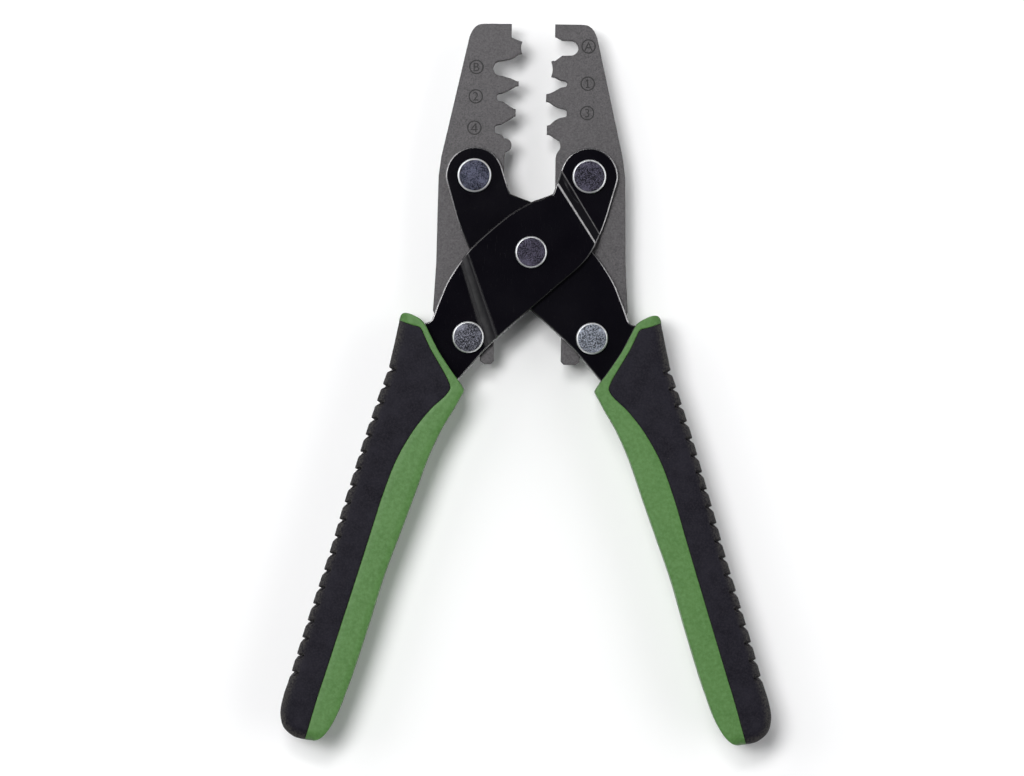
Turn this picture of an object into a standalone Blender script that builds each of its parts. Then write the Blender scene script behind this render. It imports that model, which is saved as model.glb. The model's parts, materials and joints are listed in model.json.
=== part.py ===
"""Plier-type terminal crimping tool with parallel die plates, as separate solids.

Two crossed pairs of link plates turn on a centre rivet. Each pair ends in a tang inside a
two-component grip. The left die plate is pinned to the right handle's links and its forked
tail slides on the left handle's lower rivet, and the right die plate does the reverse, so
squeezing the grips brings the plates together while they stay parallel.

Sizes are in millimetres and MM turns them into metres where a mesh is made. Outlines are
drawn around the centre rivet, for the left-hand side, and mirrored for the right-hand side.
The tool lies on its back face: +X is right, +Y runs towards the jaw tips and +Z is up.
"""
import math

import bmesh
import bpy
from mathutils import Vector

MM = 0.001
WELD_DISTANCE = 1e-5
SHARP_ANGLE = math.radians(35)
LEFT, RIGHT = 1, -1
FRONT, BACK = 1, -1

# The grips are the thickest part, so the middle plane stands this high when the tool lies down
GRIP_HALF_THICKNESS = 9.5

# Layers, as heights from the middle plane, and the play between touching plates
PLAY = 0.3
JAW_HALF_THICKNESS = 2.0
LINK_THICKNESS = 2.0
LINK_LOW = JAW_HALF_THICKNESS + PLAY
LINK_LIFT = LINK_THICKNESS + PLAY
RIVET_HEAD_HEIGHT = 1.3

# Pins: half spans and heights with the tool open
UPPER_PIN = (-16.6, 22.1)
LOWER_PIN = (-17.9, -24.7)
JAW_TRAVEL = 6.15
SHANK_RADIUS = 2.6
HOLE_RADIUS = SHANK_RADIUS + PLAY
UPPER_HEAD_RADIUS = 4.9
LOWER_HEAD_RADIUS = 4.6
CENTRE_SPACER_RADIUS = 4.2
HEAD_CHAMFER = 0.5
BOSS_RADIUS = 8.3

# Jaw plates
JAW_FACE_X = -6.3
JAW_TOP = 66.2
BUTT_Y = -143.1
CENTRE_Y = -(JAW_TOP + BUTT_Y) / 2
DIE_PLAY = 0.25
SLOT_STEPS = 6
FORK_END = -32.4
INNER_EDGE_X = -11.2
INNER_PRONG_X = {LEFT: -10.5, RIGHT: -9.0}

# Grips
GRIP_ROUNDING = 1.2
COVER_WALL = 2.7
CORE_SLEEVE_HALF_HEIGHT = 6.8
POCKET_HALF_HEIGHT = 4.9
GROOVE_COUNT = 19
GROOVE_FIRST_Y = -34.4
GROOVE_LAST_Y = -122.4
GROOVE_WIDTH = 1.0
GROOVE_DEPTH = 1.6
GROOVE_TIP = 0.3
CUTTER_MARGIN = 3.0
TANG_RIVET_RADIUS = 2.2
TANG_RIVETS = ((-34.2, -50.0), (-44.3, -80.0))
SEAM_OVERLAP = 1.2


class Die:
    """One crimping die: a nest in one jaw plate and the punch that closes it in the other."""

    def __init__(self, bottom, centre, throat, throat_depth, depth, tip, reach, punch_side,
                 hollow=0.0, round_end=False):
        self.bottom = bottom
        self.centre = centre
        self.throat = throat
        self.throat_depth = throat_depth
        self.depth = depth
        self.tip = tip
        self.reach = reach
        self.punch_side = punch_side
        self.hollow = hollow
        self.round_end = round_end


# From the tip down, the dies marked A, B, 1, 2, 3 and 4
DIES_TOP = 62.5
DIES = (
    Die(55.85, 59.4, 2.25, 2.1, 6.8, 1.75, 3.1, LEFT, hollow=0.35, round_end=True),
    Die(50.6, 53.3, 2.2, 2.6, 5.3, 2.15, 1.0, RIGHT, hollow=0.4, round_end=True),
    Die(47.1, 48.95, 1.1, 1.8, 3.6, 0.6, 2.2, LEFT),
    Die(42.35, 44.9, 1.4, 2.1, 4.1, 1.05, 2.4, RIGHT),
    Die(38.45, 40.5, 1.5, 1.4, 3.6, 0.95, 1.4, LEFT),
    Die(33.6, 35.6, 1.6, 2.6, 4.6, 1.25, 2.1, RIGHT),
)

COLOURS = {
    "black_link_steel": ((0.012, 0.011, 0.016, 1), 0.32, 0.6),
    "grey_jaw_steel": ((0.135, 0.135, 0.145, 1), 0.55, 0.8),
    "bare_rivet_steel": ((0.23, 0.23, 0.28, 1), 0.4, 1.0),
    "green_grip_plastic": ((0.12, 0.30, 0.09, 1), 0.5, 0.0),
    "black_grip_rubber": ((0.022, 0.02, 0.03, 1), 0.65, 0.0),
}


# ---------------------------------------------------------------- outline helpers

def arc(centre, radius, start, end, steps):
    """Points on an arc, in degrees, both ends included."""
    angles = [math.radians(start + (end - start) * i / steps) for i in range(steps + 1)]
    return [(centre[0] + radius * math.cos(a), centre[1] + radius * math.sin(a)) for a in angles]


def smooth(points, steps=3):
    """A Catmull-Rom curve through the points, both ends included."""
    ends = [points[0]] + list(points) + [points[-1]]
    path = []
    for p0, p1, p2, p3 in zip(ends, ends[1:], ends[2:], ends[3:]):
        for i in range(steps):
            t = i / steps
            path.append(tuple(
                0.5 * (2 * b + (c - a) * t + (2 * a - 5 * b + 4 * c - d) * t * t
                       + (3 * b - a - 3 * c + d) * t ** 3)
                for a, b, c, d in zip(p0, p1, p2, p3)))
    return path + [tuple(points[-1])]


def shifted(path, distance, closed=False):
    """The path moved sideways, to the right of its direction, by the distance."""
    points = [Vector(p) for p in path]
    moved = []
    for i, point in enumerate(points):
        before = points[i - 1] if closed or i else point
        after = points[(i + 1) % len(points)] if closed or i + 1 < len(points) else point
        normals = [Vector((d.y, -d.x)).normalized() for d in (point - before, after - point)
                   if d.length > 0]
        mitre = sum(normals, Vector((0, 0)))
        moved.append(tuple(point + mitre * distance * len(normals) / mitre.length_squared))
    return moved


def area(loop):
    return sum(x0 * y1 - x1 * y0 for (x0, y0), (x1, y1) in zip(loop, loop[1:] + loop[:1])) / 2


def grown(loop, distance):
    """A closed outline made larger all round by the distance."""
    return shifted(loop, distance if area(loop) > 0 else -distance, closed=True)


def sided(points, side):
    """Points drawn for the left-hand side, placed on the side asked for."""
    return [(x * side, y) for x, y in points]


def point_at_height(path, y):
    """The point and direction where a falling path passes the height y."""
    for start, end in zip(path, path[1:]):
        if start[1] >= y > end[1]:
            t = (start[1] - y) / (start[1] - end[1])
            direction = (Vector(end) - Vector(start)).normalized()
            return Vector(start).lerp(Vector(end), t), direction
    raise ValueError("the path does not pass this height")


# ---------------------------------------------------------------- Blender helpers

def clear_scene():
    for obj in list(bpy.data.objects):
        bpy.data.objects.remove(obj, do_unlink=True)


def make_collection(name):
    collection = bpy.data.collections.new(name)
    bpy.context.scene.collection.children.link(collection)
    return collection


def make_material(name):
    colour, roughness, metallic = COLOURS[name]
    material = bpy.data.materials.new(name)
    material.use_nodes = True
    shader = material.node_tree.nodes["Principled BSDF"]
    shader.inputs["Base Color"].default_value = colour
    shader.inputs["Roughness"].default_value = roughness
    shader.inputs["Metallic"].default_value = metallic
    material.diffuse_color = colour
    return material


def make_axis(name, location, parent=None):
    """An empty that stands on a joint's axis and carries what turns there."""
    axis = bpy.data.objects.new(name, None)
    axis.empty_display_size = 10 * MM
    axis.location = Vector(location) * MM
    axis.parent = parent
    parts.objects.link(axis)
    return axis


def finish_mesh(mesh):
    """Weld the seams, turn the faces outwards and shade the round parts smooth."""
    bm = bmesh.new()
    bm.from_mesh(mesh)
    bmesh.ops.remove_doubles(bm, verts=bm.verts, dist=WELD_DISTANCE)
    bmesh.ops.recalc_face_normals(bm, faces=bm.faces)
    if bm.calc_volume(signed=True) < 0:
        bmesh.ops.reverse_faces(bm, faces=bm.faces)
    bm.to_mesh(mesh)
    bm.free()
    mesh.shade_smooth()
    mesh.set_sharp_from_angle(angle=SHARP_ANGLE)


def flat_solid(name, loops, low, high, collection, rounding=0.0):
    """A plate with the outline and holes of the loops, from a filled 2D curve."""
    curve = bpy.data.curves.new(name, "CURVE")
    curve.dimensions = "2D"
    curve.fill_mode = "BOTH"
    curve.extrude = ((high - low) / 2 - rounding) * MM
    curve.bevel_depth = rounding * MM
    curve.bevel_resolution = 1
    curve.offset = -rounding * MM
    for loop in loops:
        spline = curve.splines.new("POLY")
        spline.points.add(len(loop) - 1)
        for point, (x, y) in zip(spline.points, loop):
            point.co = (x * MM, y * MM, 0, 1)
        spline.use_cyclic_u = True
    outline = bpy.data.objects.new(name + "_outline", curve)
    collection.objects.link(outline)
    mesh = bpy.data.meshes.new_from_object(outline.evaluated_get(bpy.context.evaluated_depsgraph_get()))
    bpy.data.objects.remove(outline)
    for vertex in mesh.vertices:
        vertex.co.z += (low + high) / 2 * MM
    finish_mesh(mesh)
    solid = bpy.data.objects.new(name, mesh)
    collection.objects.link(solid)
    return solid


def cutter(name, loops, low, high):
    solid = flat_solid(name, loops, low, high, cutters)
    solid.hide_render = True
    solid.display_type = "WIRE"
    return solid


def boolean(obj, other, operation):
    modifier = obj.modifiers.new(operation.lower(), "BOOLEAN")
    modifier.operation = operation
    modifier.solver = "EXACT"
    modifier.object = other


def turned(name, profile, collection, steps=28):
    """A solid of revolution around Z; the profile runs down its outer side."""
    mesh = bpy.data.meshes.new(name)
    vertices = [(x * MM, 0, z * MM) for x, z in profile]
    mesh.from_pydata(vertices, [(i, i + 1) for i in range(len(vertices) - 1)], [])
    solid = bpy.data.objects.new(name, mesh)
    collection.objects.link(solid)
    screw = solid.modifiers.new("turn", "SCREW")
    screw.steps = screw.render_steps = steps
    screw.use_merge_vertices = True
    screw.merge_threshold = WELD_DISTANCE
    weld = solid.modifiers.new("close", "WELD")
    weld.merge_threshold = WELD_DISTANCE
    return solid


def attach(obj, axis, material, place=(0, 0)):
    """Hang a piece on the empty whose axis it turns with, at a place measured from that axis."""
    obj.parent = axis
    obj.location = Vector((place[0], place[1], 0)) * MM
    obj.data.materials.clear()
    obj.data.materials.append(material)


# ---------------------------------------------------------------- links

UPPER_RAMP = (((8.8, 23.3), (19.7, 5.6)), ((8.0, 19.1), (18.7, 2.6)))
LOWER_RAMP = (((-14.2, -20.7), (-20.0, -2.3)), ((-10.3, -24.3), (-18.3, -1.6)))


def tang_outer_edge():
    return [(-31.2, -21.2), (-33.6, -27.5), (-38.0, -42.0), (-50.5, -89.0)]


def tang_inner_edge():
    return [(-44.9, -92.0), (-33.8, -60.0), (-26.4, -47.0), (-21.0, -38.2)]


def tang_end():
    return arc((-48.0, -91.6), 3.1, 160, 330, 6)


def link_outline():
    """The left handle's link plate: boss at the upper right, tang at the lower left."""
    boss = arc((-UPPER_PIN[0], UPPER_PIN[1]), BOSS_RADIUS, 160, -8, 12)
    upper_edge = smooth([(-30.3, -20.7), (-29.3, -20.4), (-28.5, -19.7), (-27.9, -18.3), (-27.2, -16.3),
                         (-26.1, -13.5), (-23.5, -7.6), (-17.5, 0.8), (-7.2, 10.1), (-0.6, 14.2),
                         (3.0, 15.65), (6.2, 16.9)])
    lower_edge = smooth([(23.6, 16.6), (20.5, 6.6), (15.7, -2.3), (6.6, -10.6), (-10.2, -25.6),
                         (-16.0, -31.8), (-20.4, -36.9)])
    tang = tang_end() + tang_inner_edge()
    return upper_edge + boss + lower_edge + (tang_outer_edge() + tang)[::-1]


def line_side(line, x, y):
    """Distance from a line, positive to the right of its direction."""
    start, end = Vector(line[0]), Vector(line[1])
    along = (end - start).normalized()
    return (x - start.x) * along.y - (y - start.y) * along.x


def ramp_height(ramp, x, y):
    """0 below the ramp's foot, 1 above its head and even in between."""
    foot, head = ramp
    inwards = 1 if line_side(foot, *head[0]) > 0 else -1
    past_foot = inwards * line_side(foot, x, y)
    to_head = -inwards * line_side(head, x, y)
    if past_foot <= 0:
        return 0.0
    if to_head <= 0:
        return 1.0
    return past_foot / (past_foot + to_head)


def joggle(obj, side, face):
    """Bend the plate so that its middle steps over the flat link of the other handle."""
    bm = bmesh.new()
    bm.from_mesh(obj.data)
    for ramp in (UPPER_RAMP, LOWER_RAMP):
        for line in ramp:
            start, end = (Vector(p) for p in sided(line, side))
            across = Vector((end.y - start.y, start.x - end.x, 0))
            everything = bm.verts[:] + bm.edges[:] + bm.faces[:]
            bmesh.ops.bisect_plane(bm, geom=everything, dist=1e-6,
                                   plane_co=start.to_3d() * MM, plane_no=across.normalized())
    for vertex in bm.verts:
        x, y = vertex.co.x / MM * side, vertex.co.y / MM
        lift = min(ramp_height(UPPER_RAMP, x, y), ramp_height(LOWER_RAMP, x, y))
        vertex.co.z += face * LINK_LIFT * lift * MM
    bmesh.ops.triangulate(bm, faces=[f for f in bm.faces if len(f.verts) > 4])
    bm.to_mesh(obj.data)
    bm.free()


def make_link(name, side, face):
    """One link plate; the left one is joggled in front and the right one at the back."""
    holes = [(-UPPER_PIN[0], UPPER_PIN[1]), LOWER_PIN, (0, 0)]
    loops = [link_outline()]
    loops += [arc(hole, HOLE_RADIUS, 0, 345, 23) for hole in holes]
    loops += [arc(hole, TANG_RIVET_RADIUS + PLAY, 0, 342, 19) for hole in TANG_RIVETS]
    low = LINK_LOW if face == FRONT else -LINK_LOW - LINK_THICKNESS
    link = flat_solid(name, [sided(loop, side) for loop in loops], low, low + LINK_THICKNESS, parts)
    if side == face:
        joggle(link, side, face)
    return link


# ---------------------------------------------------------------- rivets and spacers

def make_rivet(name, head_radius, plate_stack):
    """A rivet with a chamfered flat head on each face of the plates it holds."""
    under = plate_stack + PLAY
    top = under + RIVET_HEAD_HEIGHT
    half = [(0, top), (head_radius - HEAD_CHAMFER, top), (head_radius, top - HEAD_CHAMFER),
            (head_radius, under), (SHANK_RADIUS, under)]
    profile = half + [(x, -z) for x, z in reversed(half)]
    return turned(name, profile, parts)


def make_pin(name, radius, half_length):
    return turned(name, [(0, half_length), (radius, half_length), (radius, -half_length),
                         (0, -half_length)], parts, steps=20)


def make_centre_spacer():
    loops = [arc((0, 0), radius, 0, 345, 23) for radius in (CENTRE_SPACER_RADIUS, HOLE_RADIUS)]
    return flat_solid("centre_spacer", loops, -JAW_HALF_THICKNESS, JAW_HALF_THICKNESS, parts)


def make_tang_spacer(name, side):
    """The strip that fills the space between the two tangs inside a grip."""
    outline = [(-35.2, -32.9), (-38.0, -42.0), (-50.7, -90.0), (-44.2, -90.0), (-33.8, -60.0),
               (-26.6, -47.4)]
    loops = [outline]
    loops += [arc(hole, TANG_RIVET_RADIUS + PLAY, 0, 342, 19) for hole in TANG_RIVETS]
    return flat_solid(name, [sided(loop, side) for loop in loops],
                      -JAW_HALF_THICKNESS, JAW_HALF_THICKNESS, parts)


# ---------------------------------------------------------------- jaw plates

def nest_points(die, top):
    """The recess of a die, as (reach past the face, height) from top to bottom."""
    if die.round_end:
        end = arc((die.throat - die.depth, die.centre), die.throat * 0.97, 90, 270, 8)
    else:
        width = die.throat * 0.72
        end = [(-die.depth + 0.35, die.centre + width), (-die.depth, die.centre + width - 0.4),
               (-die.depth, die.centre - width + 0.4), (-die.depth + 0.35, die.centre - width)]
    throat = [(-die.throat_depth, die.centre + die.throat), (-die.throat_depth, die.centre - die.throat)]
    return [(0, top), throat[0]] + end + [throat[1]]


def punch_points(die, top):
    """The projection of a die, with a hollow end on the round dies."""
    shoulder = min(0.9, 0.4 * die.reach)
    end = [(die.reach - shoulder, die.centre + die.tip + 0.2), (die.reach, die.centre + die.tip)]
    if die.hollow:
        end += [(die.reach - die.hollow * 0.75, die.centre + die.tip / 2),
                (die.reach - die.hollow, die.centre), (die.reach - die.hollow * 0.75, die.centre - die.tip / 2)]
    end += [(die.reach, die.centre - die.tip), (die.reach - shoulder, die.centre - die.tip - 0.2)]
    return [(0, top)] + end


def die_face(side):
    """A jaw's working edge from top to bottom, as (reach past the face, height)."""
    points = [(0, JAW_TOP)]
    top = DIES_TOP
    for die in DIES:
        if die.punch_side == side:
            points += punch_points(die, top - DIE_PLAY)
        else:
            points += nest_points(die, top + DIE_PLAY)
        top = die.bottom
    return points


def left_lower_edge():
    """Below the dies the left plate has a rounded bump, then a straight inner edge."""
    return [(-2.1, 33.5)] + arc((-1.6, 31.1), 1.9, 100, -84, 8) + [(-1.8, 27.7), (-1.8, 19.0)]


def right_lower_edge():
    """Below the dies the right plate has a rounded hollow, then a straight inner edge."""
    return arc((0.6, 31.1), 2.5, 145, 225, 6) + [(-0.6, 28.0), (-0.5, 25.6), (-0.5, 19.0)]


def slot_path():
    """Where the lower pin stands in the jaw's own frame as the tool closes."""
    upper_arm = math.hypot(*UPPER_PIN)
    lower_arm = math.hypot(*LOWER_PIN)
    open_angle = math.atan2(-UPPER_PIN[0], UPPER_PIN[1])
    lag = open_angle - math.atan2(-LOWER_PIN[0], -LOWER_PIN[1])
    closed_angle = math.asin((-UPPER_PIN[0] - JAW_TRAVEL) / upper_arm)
    path = []
    for i in range(SLOT_STEPS + 1):
        angle = open_angle + (closed_angle - open_angle) * i / SLOT_STEPS
        x = upper_arm * math.sin(angle) - lower_arm * math.sin(angle - lag)
        y = -upper_arm * math.cos(angle) - lower_arm * math.cos(angle - lag)
        path.append((UPPER_PIN[0] + x, UPPER_PIN[1] + y))
    return path


def jaw_outline(side):
    """A jaw plate: dies along the inner edge, a forked tail below."""
    lower = left_lower_edge() if side == LEFT else right_lower_edge()
    face = [(JAW_FACE_X + reach, y) for reach, y in die_face(side) + lower]
    prong_x = INNER_PRONG_X[side]
    inner = [(-9.2, 13.0), (INNER_EDGE_X, 6.0), (INNER_EDGE_X, -10.0), (prong_x, -24.0), (prong_x, -31.5),
             (prong_x - 0.8, FORK_END), (-13.2, FORK_END)]
    path = slot_path()
    end_x = path[-1][0]
    slot_in = shifted(path, -HOLE_RADIUS)[::-1]
    slot_out = shifted(path, HOLE_RADIUS)
    top = arc(path[0], HOLE_RADIUS, 18, 162, 6)
    outer_prong = [(end_x - HOLE_RADIUS, FORK_END - 0.7), (end_x - HOLE_RADIUS - 1.4, FORK_END - 0.5)]
    outer = [(-23.0, -30.8), (-28.2, -17.0), (-27.4, -3.0), (-27.2, 12.0), (-27.0, 22.0), (-26.3, 27.5),
             (-18.5, 62.4)]
    tip = smooth([(-18.5, 62.4), (-17.4, 64.6), (-15.8, 65.9), (-13.8, JAW_TOP)])[1:]
    return face + inner + slot_in + top + slot_out + outer_prong + outer + tip


def make_jaw(name, side):
    loops = [jaw_outline(side), arc(UPPER_PIN, HOLE_RADIUS, 0, 345, 23)]
    return flat_solid(name, [sided(loop, side) for loop in loops],
                      -JAW_HALF_THICKNESS, JAW_HALF_THICKNESS, parts)


# ---------------------------------------------------------------- grips

def grip_outer_edge():
    """From the lip at the top, down the finger side, to the butt's lowest point."""
    return smooth([(-37.7, -19.8), (-38.8, -25.0), (-40.8, -34.2), (-45.7, -48.5), (-53.3, -73.5),
                   (-60.9, -99.0), (-68.4, -124.0), (-70.6, -131.0), (-70.7, -136.3), (-68.2, -139.8),
                   (-64.5, -141.2), (-61.1, -141.7)])


def grip_inner_edge():
    """From the butt up the inside of the grip to the collar's lower corner."""
    return smooth([(-61.1, -141.7), (-57.9, -140.0), (-54.9, -135.0), (-50.4, -122.8), (-42.1, -96.0),
                   (-35.6, -78.0), (-28.6, -58.3), (-25.0, -50.8), (-21.6, -45.1), (-19.3, -41.2)])


def collar_edge():
    """Along the link plates where they come out of the grip, up to the lip."""
    return smooth([(-19.3, -41.2), (-19.6, -38.9), (-23.1, -33.8), (-27.0, -28.2), (-29.3, -23.6),
                   (-31.0, -20.8), (-34.3, -18.7), (-36.5, -18.1), (-37.7, -19.8)])


def grip_outline():
    return grip_outer_edge()[:-1] + grip_inner_edge()[:-1] + collar_edge()[:-1]


def collar_seam():
    """Where cover meets core below the lip and round the collar, to the inner corner."""
    return smooth([(-41.5, -19.0), (-35.5, -21.9), (-31.4, -22.9), (-28.8, -28.0), (-24.5, -35.3),
                   (-22.9, -39.2)])


def body_seam():
    """Where cover meets core from the collar's inner corner to past the butt."""
    return smooth([(-22.9, -39.2), (-27.6, -44.8), (-34.0, -52.7), (-38.6, -61.3), (-42.1, -70.8),
                   (-49.2, -94.0), (-60.0, -128.8), (-63.8, -142.0), (-64.6, -147.0)])


def cover_region(gap):
    """Everything on the cover's side of the seam, moved back from it by the gap."""
    return shifted(collar_seam()[:-1] + body_seam(), gap) + [(-90.0, -147.0), (-90.0, -19.0)]


def sleeve_outline():
    """The part of the core that the cover wraps: it stays inside the grip's outer edge."""
    outer = [p for p in shifted(grip_outer_edge(), -COVER_WALL - PLAY) if -20.5 > p[1] > -132.6]
    body = [p for p in shifted(body_seam(), -SEAM_OVERLAP) if p[1] > -129.6]
    collar = shifted(collar_seam(), -SEAM_OVERLAP)[3:]
    return outer + body[::-1] + collar[::-1]


def groove_loops():
    """Finger grooves across the outer edge, evenly spaced between the first and the last."""
    edge = grip_outer_edge()
    loops = []
    for i in range(GROOVE_COUNT):
        y = GROOVE_FIRST_Y + (GROOVE_LAST_Y - GROOVE_FIRST_Y) * i / (GROOVE_COUNT - 1)
        point, along = point_at_height(edge, y)
        inwards = Vector((-along.y, along.x))
        half = along * GROOVE_WIDTH / 2
        end = point + inwards * (GROOVE_DEPTH - GROOVE_TIP)
        back = point - inwards * CUTTER_MARGIN
        loops.append([tuple(p) for p in (back - half, end - half, end + inwards * GROOVE_TIP,
                                         end + half, back + half)])
    return loops


def pocket_outline():
    """The tang's outline with play round it, running out through the collar."""
    mouth = [(-19.8, -37.0), (-13.0, -29.0), (-24.0, -14.0), (-30.4, -19.4)]
    tang = (tang_outer_edge() + tang_end() + tang_inner_edge())
    return grown(tang + mouth, PLAY)


def make_grip(prefix, side, axis):
    """The hard core of a grip and the soft cover moulded over its outer half."""
    tall = GRIP_HALF_THICKNESS + CUTTER_MARGIN
    form = [sided(grip_outline(), side)]
    core = flat_solid(prefix + "_grip_core", form, -GRIP_HALF_THICKNESS, GRIP_HALF_THICKNESS, parts,
                      rounding=GRIP_ROUNDING)
    cover = flat_solid(prefix + "_grip_cover", form, -GRIP_HALF_THICKNESS, GRIP_HALF_THICKNESS, parts,
                       rounding=GRIP_ROUNDING)
    sleeve = CORE_SLEEVE_HALF_HEIGHT
    outline = sleeve_outline()
    shapes = {
        "cover_space": ([cover_region(0)], tall),
        "sleeve": ([outline], sleeve),
        "pocket": ([pocket_outline()], POCKET_HALF_HEIGHT),
        "cover_blank": ([cover_region(PLAY)], tall),
        "sleeve_space": ([grown(outline, PLAY)], sleeve + PLAY),
        "grooves": (groove_loops(), tall),
    }
    tools = {}
    for name, (loops, height) in shapes.items():
        loops = [sided(loop, side) for loop in loops]
        tools[name] = cutter(f"{prefix}_{name}", loops, -height, height)
        tools[name].parent = axis
    boolean(core, tools["cover_space"], "DIFFERENCE")
    boolean(core, tools["sleeve"], "UNION")
    boolean(core, tools["pocket"], "DIFFERENCE")
    boolean(cover, tools["cover_blank"], "INTERSECT")
    boolean(cover, tools["sleeve_space"], "DIFFERENCE")
    boolean(cover, tools["grooves"], "DIFFERENCE")
    return core, cover


# ---------------------------------------------------------------- assembly

def make_handle(prefix, side, axis, steel, core_plastic, cover_rubber, rivet_steel):
    """A pair of link plates, what joins them inside the grip, and the grip itself."""
    for face, end in ((FRONT, "front"), (BACK, "back")):
        attach(make_link(f"{prefix}_{end}_link", side, face), axis, steel)
    attach(make_tang_spacer(f"{prefix}_tang_spacer", side), axis, steel)
    for centre, end in zip(TANG_RIVETS, ("upper", "lower")):
        rivet = make_pin(f"{prefix}_{end}_tang_rivet", TANG_RIVET_RADIUS, LINK_LOW + LINK_THICKNESS)
        attach(rivet, axis, rivet_steel, (centre[0] * side, centre[1]))
    core, cover = make_grip(prefix, side, axis)
    attach(core, axis, core_plastic)
    attach(cover, axis, cover_rubber)


def main():
    steel = make_material("black_link_steel")
    jaw_steel = make_material("grey_jaw_steel")
    rivet_steel = make_material("bare_rivet_steel")
    core_plastic = make_material("green_grip_plastic")
    cover_rubber = make_material("black_grip_rubber")

    centre = (0, CENTRE_Y, GRIP_HALF_THICKNESS)
    left_axis = make_axis("left_handle_axis", centre)
    right_axis = make_axis("right_handle_axis", centre)
    left_jaw_axis = make_axis("left_jaw_axis", (*UPPER_PIN, 0), right_axis)
    right_jaw_axis = make_axis("right_jaw_axis", (-UPPER_PIN[0], UPPER_PIN[1], 0), left_axis)

    grip_materials = (core_plastic, cover_rubber, rivet_steel)
    make_handle("left", LEFT, left_axis, steel, *grip_materials)
    make_handle("right", RIGHT, right_axis, steel, *grip_materials)

    low_stack = LINK_LOW + LINK_THICKNESS
    high_stack = low_stack + LINK_LIFT
    attach(make_centre_spacer(), left_axis, steel)
    attach(make_rivet("centre_rivet", LOWER_HEAD_RADIUS, high_stack), left_axis, rivet_steel)
    for side, prefix, axis, other in ((LEFT, "left", left_axis, right_axis),
                                      (RIGHT, "right", right_axis, left_axis)):
        upper = make_rivet(f"upper_{prefix}_rivet", UPPER_HEAD_RADIUS, low_stack)
        attach(upper, other, rivet_steel, (UPPER_PIN[0] * side, UPPER_PIN[1]))
        lower = make_rivet(f"lower_{prefix}_rivet", LOWER_HEAD_RADIUS, low_stack)
        attach(lower, axis, rivet_steel, (LOWER_PIN[0] * side, LOWER_PIN[1]))

    attach(make_jaw("left_jaw", LEFT), left_jaw_axis, jaw_steel, (-UPPER_PIN[0], -UPPER_PIN[1]))
    attach(make_jaw("right_jaw", RIGHT), right_jaw_axis, jaw_steel, (UPPER_PIN[0], -UPPER_PIN[1]))


clear_scene()
parts = make_collection("terminal_crimping_tool")
cutters = make_collection("cutters")
main()
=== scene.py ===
"""Looks of the terminal crimping tool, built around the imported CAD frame.

Plates are rebuilt from the CAD outlines with rounded, stamped edges, rivets are turned, and the
two-colour grips are lofted over ribs that run from the collar to the butt. Sizes are in
millimetres, measured from the centre rivet, and MM turns them into metres.
"""
import json
import math

import bmesh
import bpy
import numpy as np
from mathutils import Matrix, Vector


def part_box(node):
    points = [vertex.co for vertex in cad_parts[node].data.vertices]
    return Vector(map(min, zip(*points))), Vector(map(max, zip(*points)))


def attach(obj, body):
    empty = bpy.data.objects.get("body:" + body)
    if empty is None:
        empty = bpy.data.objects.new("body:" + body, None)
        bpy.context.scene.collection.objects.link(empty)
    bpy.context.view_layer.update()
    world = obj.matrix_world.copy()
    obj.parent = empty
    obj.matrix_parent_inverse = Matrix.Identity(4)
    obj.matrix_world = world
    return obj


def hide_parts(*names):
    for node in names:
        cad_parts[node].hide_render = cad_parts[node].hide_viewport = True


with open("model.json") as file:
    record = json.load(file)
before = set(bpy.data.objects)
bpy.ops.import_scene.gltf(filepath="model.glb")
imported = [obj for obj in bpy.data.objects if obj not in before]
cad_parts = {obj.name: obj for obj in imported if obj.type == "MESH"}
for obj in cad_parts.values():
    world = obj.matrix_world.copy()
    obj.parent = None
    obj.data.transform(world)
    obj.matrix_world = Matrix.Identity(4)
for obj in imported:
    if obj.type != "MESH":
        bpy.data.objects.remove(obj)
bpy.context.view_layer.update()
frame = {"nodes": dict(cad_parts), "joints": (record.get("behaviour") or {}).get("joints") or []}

MM = 0.001
LEFT, RIGHT = 1, -1
FRONT, BACK = 1, -1

# ---------------------------------------------------------------- places read from the frame

JOINTS = {joint["name"]: joint for joint in frame["joints"]}
CENTRE = Vector(JOINTS["handle_pivot"]["pos_m"])


def node_centre(node):
    low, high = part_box(node)
    return (low + high) / 2


def node_heights(node):
    """A node's lowest and highest level in mm from the middle plane."""
    low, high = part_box(node)
    return (low.z - CENTRE.z) / MM, (high.z - CENTRE.z) / MM


# ---------------------------------------------------------------- design of the visual surface

REFINE_ROUNDS = 2
RIM_STEPS = 2
TURN_STEPS = 96
# In metres: points nearer than SLIVER are one, points within LEVEL of the top are on the top face,
# and a cut passes through the points within CUT_SNAP of it
SLIVER = 2e-6
LEVEL = 1e-5
CUT_SNAP = 1e-7

PLATE_EDGE = 0.4
JAW_EDGE = 0.16
# By the upright share of their normal: faces above FLAT are flat, those between RIM_TILTS are rims
FLAT = 0.9995
RIM_TILTS = (0.1, 0.97)
# Rims are painted dark, as shade, up to the first of these distances from the centre rivet, and brighten to
# the bare steel of wear over the second
RIM_SHADE_TO = 18.0
RIM_SHADE_FADE = 5.0
RAMP_STEPS = 10
NARROWEST_RAMP = 0.2
MARK_RADIUS = 2.1
MARK_POINTS = 64
MARK_LINE = 0.36
MARK_TEXT = 3.6
MARK_DEPTH = 0.15
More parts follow.
